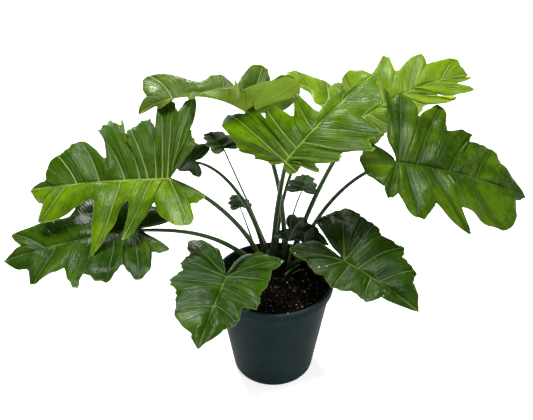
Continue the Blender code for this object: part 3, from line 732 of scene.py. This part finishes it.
def build_blade(name, leaf, look, seed):
    """Closed thin blade: one sheet of both halves, its upper and lower face either side.

    The thickness rounds off to nothing over the last of the way to the margin.
    """
    (left, right), front = blade_columns(leaf)
    out = eased(OUT_ROWS)[:, None]
    halves, count = [], 0
    for side, rows, place in ((1, leaf["left"], left), (-1, leaf["right"], right)):
        places, outs = np.meshgrid(place, out)
        grid, x, y = blade_point(leaf, rows, side, places, outs)
        index = count + np.arange(grid[..., 0].size).reshape(grid.shape[:2])
        index[0, front - 1:] = index[0, front - 1]
        if halves:
            index[0, :front] = halves[0]["index"][0, :front]
            index[0, front:] = index[0, front - 1]
            index[:, 0] = halves[0]["index"][:, 0]
        relief = blade_relief(leaf, grid, places, outs, x, y, seed + side)
        halves.append(dict(relief, index=index, grid=grid, place=place, side=side))
        count += grid[..., 0].size
    points, fields = np.zeros((count, 3)), np.zeros((count, 3))
    thin, border = np.ones(count), np.zeros(count, bool)
    for half in reversed(halves):
        spots = half["index"].ravel()
        points[spots] = half["grid"].reshape(-1, 3)
        fields[spots] = np.stack([half[key].ravel() for key in ("lift", "groove", "ridge")], -1)
        edge = ((out - MARGIN_START) / (1 - MARGIN_START)).clip(0, 1)
        rim = np.sqrt(1 - edge ** 2)
        thin[spots] = (rim + 0 * half["place"]).ravel()
        border[half["index"][-1]] = True
        border[half["index"][:, -1]] = True
    upper = [triangles(half["index"], flip=half["side"] < 0) for half in halves]
    faces = np.concatenate([found for found, _ in upper])
    # normals of the sheet, weighted by area
    a, b, c = points[faces].transpose(1, 0, 2)
    weight = np.cross(b - a, c - a)
    normal = np.zeros_like(points)
    for k in range(3):
        np.add.at(normal, faces[:, k], weight)
    normal = unit(normal)
    lift, groove, ridge = fields.T
    half_thick = BLADE_THICKNESS / 2 * thin
    top = points + normal * (lift + half_thick - groove * thin)[:, None]
    base = points + normal * (lift - half_thick - (groove * 0.6 + ridge) * thin)[:, None]
    # number the points that are really used, the border once and the rest twice
    used = np.unique(faces)
    number = np.full(count, -1)
    number[used] = np.arange(len(used))
    inner = used[~border[used]]
    below = number.copy()
    below[inner] = len(used) + np.arange(len(inner))
    all_points = np.concatenate([top[used], base[inner]])
    all_faces, uvs, facts = [], [], []
    for half, (found, corners) in zip(halves, upper):
        row, column = np.divmod(corners, half["index"].shape[1])
        first = RIGHT_VEINS if half["side"] < 0 else 0
        uv = np.stack([half["place"][column] / 2 + first, out[row, 0]], -1)
        metric = [half[key].ravel()[corners] for key in ("span", "middle")]
        for numbers, lower in ((number, 0.0), (below, 1.0)):
            share = np.where(border[found], 0.5, lower)
            fact = np.stack([*metric, share], -1)
            turned = slice(None, None, -1) if lower else slice(None)
            all_faces.append(numbers[found][:, turned])
            uvs.append(uv[:, turned])
            facts.append(fact[:, turned])
    material = leaf_finish(name, **{k: v for k, v in look.items() if k != "slot"})
    return add_piece(f"leaf_{name}", all_points, np.concatenate(all_faces), material,
                     [f"blade_{name}"], uv=("veins", np.concatenate(uvs)),
                     facts=("blade", np.concatenate(facts)))


# -------- stalks
def side_radius(height):
    """Radius of the pot's outer side, which widens evenly from foot to rim band."""
    share = height / POT_HEIGHT
    return FOOT_RADIUS + (RIM_RADIUS - RIM_STEP - FOOT_RADIUS) * share


def soil_top(radius):
    """Height of the soil surface, dished towards its edge."""
    edge = side_radius(POT_HEIGHT - SOIL_DEPTH) - WALL
    return POT_HEIGHT - SOIL_DEPTH - SOIL_DISH * (radius / edge) ** 2


def soil_radius():
    """Radius of the soil surface at its edge, a gap inside the pot's wall."""
    return side_radius(POT_HEIGHT - SOIL_DEPTH - SOIL_DISH) - WALL - GAP


def rooted(spot):
    """The point at that place in plan, just under the soil's surface."""
    return np.array([*spot, soil_top(math.hypot(*spot)) - SUNK])


def bezier(start, first, second, end, t):
    """Points of a cubic curve at the given parameters."""
    t = t[:, None]
    return (start * (1 - t) ** 3 + 3 * first * t * (1 - t) ** 2
            + 3 * second * t * t * (1 - t) + end * t ** 3)


def tube(path, radius, section, around=20):
    """Rings about a path, and the share of the length at each.

    Each ring lies square to the path; section(angle, share) scales its radius; both ends
    round off as a half ellipse.
    """
    step = np.linalg.norm(np.diff(path, axis=0), axis=1)
    length = np.concatenate([[0.0], np.cumsum(step)])
    share = length / length[-1]
    tangent = unit(np.gradient(path, axis=0))
    across = np.cross(path[-1] - path[0], [0.0, 0.0, 1.0])
    first = unit(across - tangent * (tangent @ across)[:, None])
    second = np.cross(tangent, first)
    near = np.minimum(length, length[-1] - length) / radius
    cap = np.sqrt(np.clip(1 - (1 - near.clip(0, 1)) ** 2, 0, 1))
    angle = 2 * np.pi * np.arange(around) / around
    reach = (radius * cap)[:, None] * section(angle[None, :], share[:, None])
    rings = (path[:, None] + first[:, None] * (reach * np.cos(angle))[..., None]
             + second[:, None] * (reach * np.sin(angle))[..., None])
    rings[0], rings[-1] = path[0], path[-1]
    return rings, share


def add_tube(name, rings, share, material, stands_for):
    """A tube as a piece, mapped by share around and share of its length."""
    points, faces, turn, ring = wrapped(rings, flip=True)
    return add_piece(name, points, faces, material, stands_for,
                     uv=("length", np.stack([turn, share[ring]], -1)))


def build_petiole(name, leaf, material):
    """Tapering stalk: a shallow channel on its upper side and a wider clasping foot."""
    hub, ground = hub_of(leaf), rooted(base_of(leaf))
    (level_a, height_a), (level_b, height_b) = leaf["hands"]
    full = hub - ground
    second = ground + full * np.array([level_b, level_b, height_b])
    first = ground + full * np.array([level_a, level_a, height_a])
    end = hub - leaf_axes(leaf)[:, 2] * (BLADE_THICKNESS / 2 + leaf["radii"][1] * 0.9)
    t = np.concatenate([[0, .002, .006, .012], np.linspace(.02, .98, 58), [.988, .994, .998, 1]])
    path = bezier(ground, first, second, end, t)
    radius = leaf["radii"][0] + (leaf["radii"][1] - leaf["radii"][0]) * t
    foot = np.exp(-((t * np.linalg.norm(full)) / 0.022) ** 2)
    radius = radius * (1 + 0.35 * foot) * (1 + 0.02 * np.sin(23 * t + leaf["heading"]))

    def section(angle, share):
        """Round, pressed in over the top of the stalk and ribbed very slightly."""
        channel = np.exp(-((np.mod(angle, 2 * np.pi) - np.pi / 2) / 0.45) ** 2)
        return 1 - (0.16 - 0.08 * share) * channel + 0.015 * np.sin(7 * angle)

    rings, share = tube(path, radius, section)
    return add_tube(f"stalk_{name}", rings, share, material,
                    [f"petiole_{name}"])


def build_shoot(name, foot, middle, high, radii, material):
    """Young pointed shoot: a rolled spear, widest a third of the way up."""
    low = rooted(np.array(foot) * soil_radius())
    middle, high = low + middle, low + high
    t = eased(36)
    path = bezier(low, (low + 2 * middle) / 3, (2 * middle + high) / 3, high, t)
    radius = radii[0] * (1 + 0.25 * np.sin(np.pi * np.minimum(t * 1.4, 1))) * (1 - t) + radii[1] * t

    def section(angle, share):
        """Flattened, with one overlapping edge that winds slowly up the spear."""
        wind = angle + 1.5 * share
        return 1 + 0.12 * np.cos(2 * angle) + 0.10 * np.mod(wind, 2 * np.pi) / (2 * np.pi)

    rings, share = tube(path, radius, section, around=24)
    return add_tube(f"crown_{name}", rings, share, material, [name])


# -------- pot and soil
def turned(profile, steps):
    """Rings of a surface of revolution from (radius, height) points on the axis at both ends."""
    angle = 2 * np.pi * np.arange(steps) / steps
    radius, height = np.array(profile, float).T
    return np.stack([radius[:, None] * np.cos(angle), radius[:, None] * np.sin(angle),
                     height[:, None] + 0 * angle], -1)


def corner(radius, height, size, start, end, steps=6):
    """Points of an arc of that size about (radius, height) between two angles in degrees."""
    angles = np.radians(np.linspace(start, end, steps + 1))
    return [(radius + size * math.cos(a), height + size * math.sin(a)) for a in angles]


def spaced(profile, longest):
    """The profile with long straight runs cut into shorter ones."""
    result = [profile[0]]
    for near, far in zip(profile, profile[1:]):
        parts = max(1, math.ceil(math.dist(near, far) / longest))
        result += [tuple(np.array(near) + (np.array(far) - near) * k / parts)
                   for k in range(1, parts + 1)]
    return result


def build_pot(material):
    """Tapered moulded pot: rolled lip, rim band, rounded foot, ring of drain holes.

    Its profile goes up inside, over the lip and down outside, and is turned about the axis.
    """
    band = POT_HEIGHT - RIM_BAND
    roll = 0.0012    # radius of the lip's and the band's edges
    draft = 0.0006   # how much the band narrows downwards
    floor_corner = CORNER - 0.0006
    inner = side_radius(POT_HEIGHT) - WALL
    slope = (side_radius(POT_HEIGHT) - side_radius(0)) / POT_HEIGHT
    profile = [(0.0, WALL), (0.020, WALL)]
    profile += corner(side_radius(CORNER) - WALL - floor_corner, WALL + floor_corner,
                      floor_corner, -90, 0)
    profile += [(side_radius(band) - WALL, band)]
    profile += corner(inner + roll, POT_HEIGHT - roll, roll, 180, 90, 4)
    profile += corner(RIM_RADIUS - roll, POT_HEIGHT - roll, roll, 90, 0, 4)
    profile += corner(RIM_RADIUS - draft - roll, band + roll, roll, 0, -80, 4)
    profile += [(side_radius(band - 0.0006) + 0.0002, band - 0.0002),
                (side_radius(band - 0.0016), band - 0.0016),
                (side_radius(CORNER) - slope * 0.002, CORNER)]
    profile += corner(side_radius(CORNER) - CORNER - slope * 0.002, CORNER, CORNER, -6, -90)
    profile += [(0.030, 0.0), (0.0, 0.0)]
    points, faces, _, _ = wrapped(turned(spaced(profile, 0.012), POT_STEPS), flip=True)
    pot = add_piece("nursery_pot", points, faces, material, ["pot"])
    cutters = []
    drill = 0.004    # half the height of a drain's cutter
    ring = FOOT_RADIUS - WALL - CORNER - DRAIN_INSET - DRAIN_RADIUS
    for index in range(DRAIN_COUNT):
        angle = 2 * math.pi * (index + 0.5) / DRAIN_COUNT
        ends = [(0, -drill), (DRAIN_RADIUS, -drill), (DRAIN_RADIUS, drill), (0, drill)]
        bore = turned(ends, 24)
        points, faces, _, _ = wrapped(bore)
        points = points + [ring * math.cos(angle), ring * math.sin(angle), 0.0]
        mesh = bpy.data.meshes.new(f"drain_{index}")
        mesh.from_pydata(points.tolist(), [], faces.tolist())
        cutters.append(put(f"drain_{index}", mesh))
        cut = pot.modifiers.new(f"drain_{index}", "BOOLEAN")
        cut.operation, cut.object, cut.solver = "DIFFERENCE", cutters[-1], "EXACT"
    bpy.context.view_layer.update()
    view = bpy.context.evaluated_depsgraph_get()
    drilled = bpy.data.meshes.new_from_object(pot.evaluated_get(view))
    pot.modifiers.clear()
    pot.data = drilled
    for cutter in cutters:
        bpy.data.objects.remove(cutter, do_unlink=True)
    drilled.set_sharp_from_angle(angle=math.radians(40))
    return pot


def build_soil(material):
    """Soil filling the pot: its top is lumpy by noise at three scales, dying out at the wall."""
    edge_height = POT_HEIGHT - SOIL_DEPTH - SOIL_DISH
    edge = soil_radius()
    low = side_radius(CORNER) - WALL - 0.001 - GAP
    radii = [edge * k / SOIL_RINGS for k in range(SOIL_RINGS + 1)]
    rings = [(radius, soil_top(radius)) for radius in radii]
    rings += [(edge - 0.001, edge_height - 0.004), (low, CORNER + GAP),
              (FOOT_RADIUS - WALL - CORNER - GAP, WALL + GAP), (0.0, WALL + GAP)]
    grid = turned(rings, SOIL_STEPS)
    clear = np.clip((edge - np.hypot(grid[..., 0], grid[..., 1])) / 0.004, 0, 1)
    top = (np.arange(len(rings)) <= SOIL_RINGS)[:, None]
    rough = sum(high * lumps(grid, size, seed) for seed, (high, size) in enumerate(SOIL_LUMPS, 1))
    grid[..., 2] += np.where(top, rough * (0.35 + 0.65 * clear) - 0.0004, 0)
    grid[0] = grid[0, 0]
    points, faces, _, _ = wrapped(grid)
    return add_piece("potting_soil", points, faces, material, ["soil"])


def scattered(name, count, sizes, flat, reach, lift, material, seed):
    """Many little bits on the soil: one lump repeated, each squashed and turned at random.

    flat is how far a bit may be squashed, reach how far from the axis they lie, lift how
    much of its size a bit stands proud.
    """
    chance = np.random.default_rng(seed)
    shape = turned([(0, -1), (.75, -.62), (1.0, .05), (.62, .72), (0, 1)], 7)
    points, faces, _, _ = wrapped(shape)
    radius = reach * np.sqrt(chance.random(count))
    angle = 2 * np.pi * chance.random(count)
    size = sizes[0] + (sizes[1] - sizes[0]) * chance.random(count) ** 2
    frames = np.linalg.qr(chance.normal(size=(count, 3, 3)))[0]
    frames[:, 0] *= np.sign(np.linalg.det(frames))[:, None]
    scales = size[:, None] * (1 - flat * chance.random((count, 3)))
    jitter = 1 + 0.30 * chance.normal(size=(count, len(points), 1)).clip(-1, 1)
    local = points[None] * jitter * scales[:, None]
    centre = np.stack([radius * np.cos(angle), radius * np.sin(angle),
                       soil_top(radius) + size * lift], -1)
    high, cell = SOIL_LUMPS[0]
    centre[:, 2] += high * lumps(centre, cell, 1)
    placed = np.einsum("nij,nkj->nki", frames, local) + centre[:, None]
    numbers = faces[None] + (np.arange(count) * len(points))[:, None, None]
    return add_piece(name, placed.reshape(-1, 3), numbers.reshape(-1, 3), material,
                     smooth=False)


# -------- the plant
build_pot(pot_finish())
build_soil(soil_finish("potting_soil", (.0009, .0007, .0005), (.0062, .0043, .0029)))
crumb = soil_finish("soil_crumbs", (.0016, .0013, .0009), (.012, .008, .0055))
scattered("soil_crumbs", 1400, (.0007, .0026), 0.5, .066, 0.15, crumb, 11)
bark = grain_finish("bark_bits", (.020, .012, .006), (.075, .045, .022), 500.0, 0.6)
scattered("bark_bits", 150, (.0008, .0026), 0.75, .065, 0.35, bark, 12)
perlite = grain_finish("perlite", (.30, .28, .24), (.60, .58, .52), 700.0, 0.7)
scattered("perlite", 46, (.0005, .0013), 0.4, .065, 0.6, perlite, 13)

green = stalk_finish("green", (.050, .085, .018), (.014, .034, .008), 0.34)
thin = stalk_finish("young", (.060, .090, .030), (.060, .090, .040), 0.45)
for seed, (name, leaf) in enumerate(LEAVES.items()):
    build_blade(name, leaf, LOOKS[name], 10 * seed)
    build_petiole(name, leaf, thin if name.startswith("small") else green)
papery = stalk_finish("sheath", (.120, .130, .030), (.110, .120, .035), 0.5)
tender = stalk_finish("shoot", (.050, .110, .020), (.060, .140, .030), 0.35)
for name, (foot, middle, high, radii) in SHOOTS.items():
    young = name.startswith("shoot")
    build_shoot(name, foot, middle, high, radii, tender if young else papery)


# -------- stage, light, camera
FLOOR_HALF = 9.0
CAMERA_PLACE = (-0.009, -0.676, 0.655)
CAMERA_TILT = 58.3         # degrees up from straight down
WHITE = (1, 1, 1, 1)


def add_floor():
    """Wide pale floor."""
    mesh = bpy.data.meshes.new("floor")
    far = FLOOR_HALF
    mesh.from_pydata([(-far, -far, 0), (far, -far, 0), (far, far, 0), (-far, far, 0)], [],
                     [(0, 1, 2, 3)])
    finish = Finish("pale_floor", Base_Color=(.86, .86, .86, 1), Roughness=0.9,
                    Specular_IOR_Level=0.1, Emission_Color=WHITE, Emission_Strength=0.72)
    mesh.materials.append(finish.material)
    put("floor", mesh)


def add_light(name, place, target, size, power):
    """Square soft white light at a place, turned to face the target."""
    lamp = bpy.data.lights.new(name, "AREA")
    lamp.shape, lamp.size, lamp.energy = "SQUARE", size, power
    holder = put(name, lamp)
    holder.location = place
    toward = np.array(place, float) - np.array(target, float)
    flat = math.hypot(toward[0], toward[1])
    holder.rotation_euler = (math.atan2(flat, toward[2]), 0,
                             math.atan2(toward[0], -toward[1]))


add_floor()
add_light("softbox_back", (-0.5, 1.25, 1.25), (0, 0, .25), 0.45, 26)
add_light("softbox_top", (-0.2, -0.1, 1.9), (0, 0, .25), 0.7, 58)
add_light("softbox_front", (1.1, -1.5, 1.3), (0, 0, .2), 1.0, 15)

world = bpy.data.worlds.new("studio")
world.use_nodes = True
sky = world.node_tree.nodes["Background"]
sky.inputs["Color"].default_value = WHITE
sky.inputs["Strength"].default_value = 0.08
bpy.context.scene.world = world
bpy.context.scene.view_settings.view_transform = "Standard"

lens = bpy.data.cameras.new("camera")
lens.sensor_width, lens.lens = 36.0, 45.5
lens.clip_end = 50.0
camera = put("camera", lens)
camera.location = CAMERA_PLACE
camera.rotation_euler = (math.radians(CAMERA_TILT), 0.0, 0.0)
bpy.context.scene.camera = camera
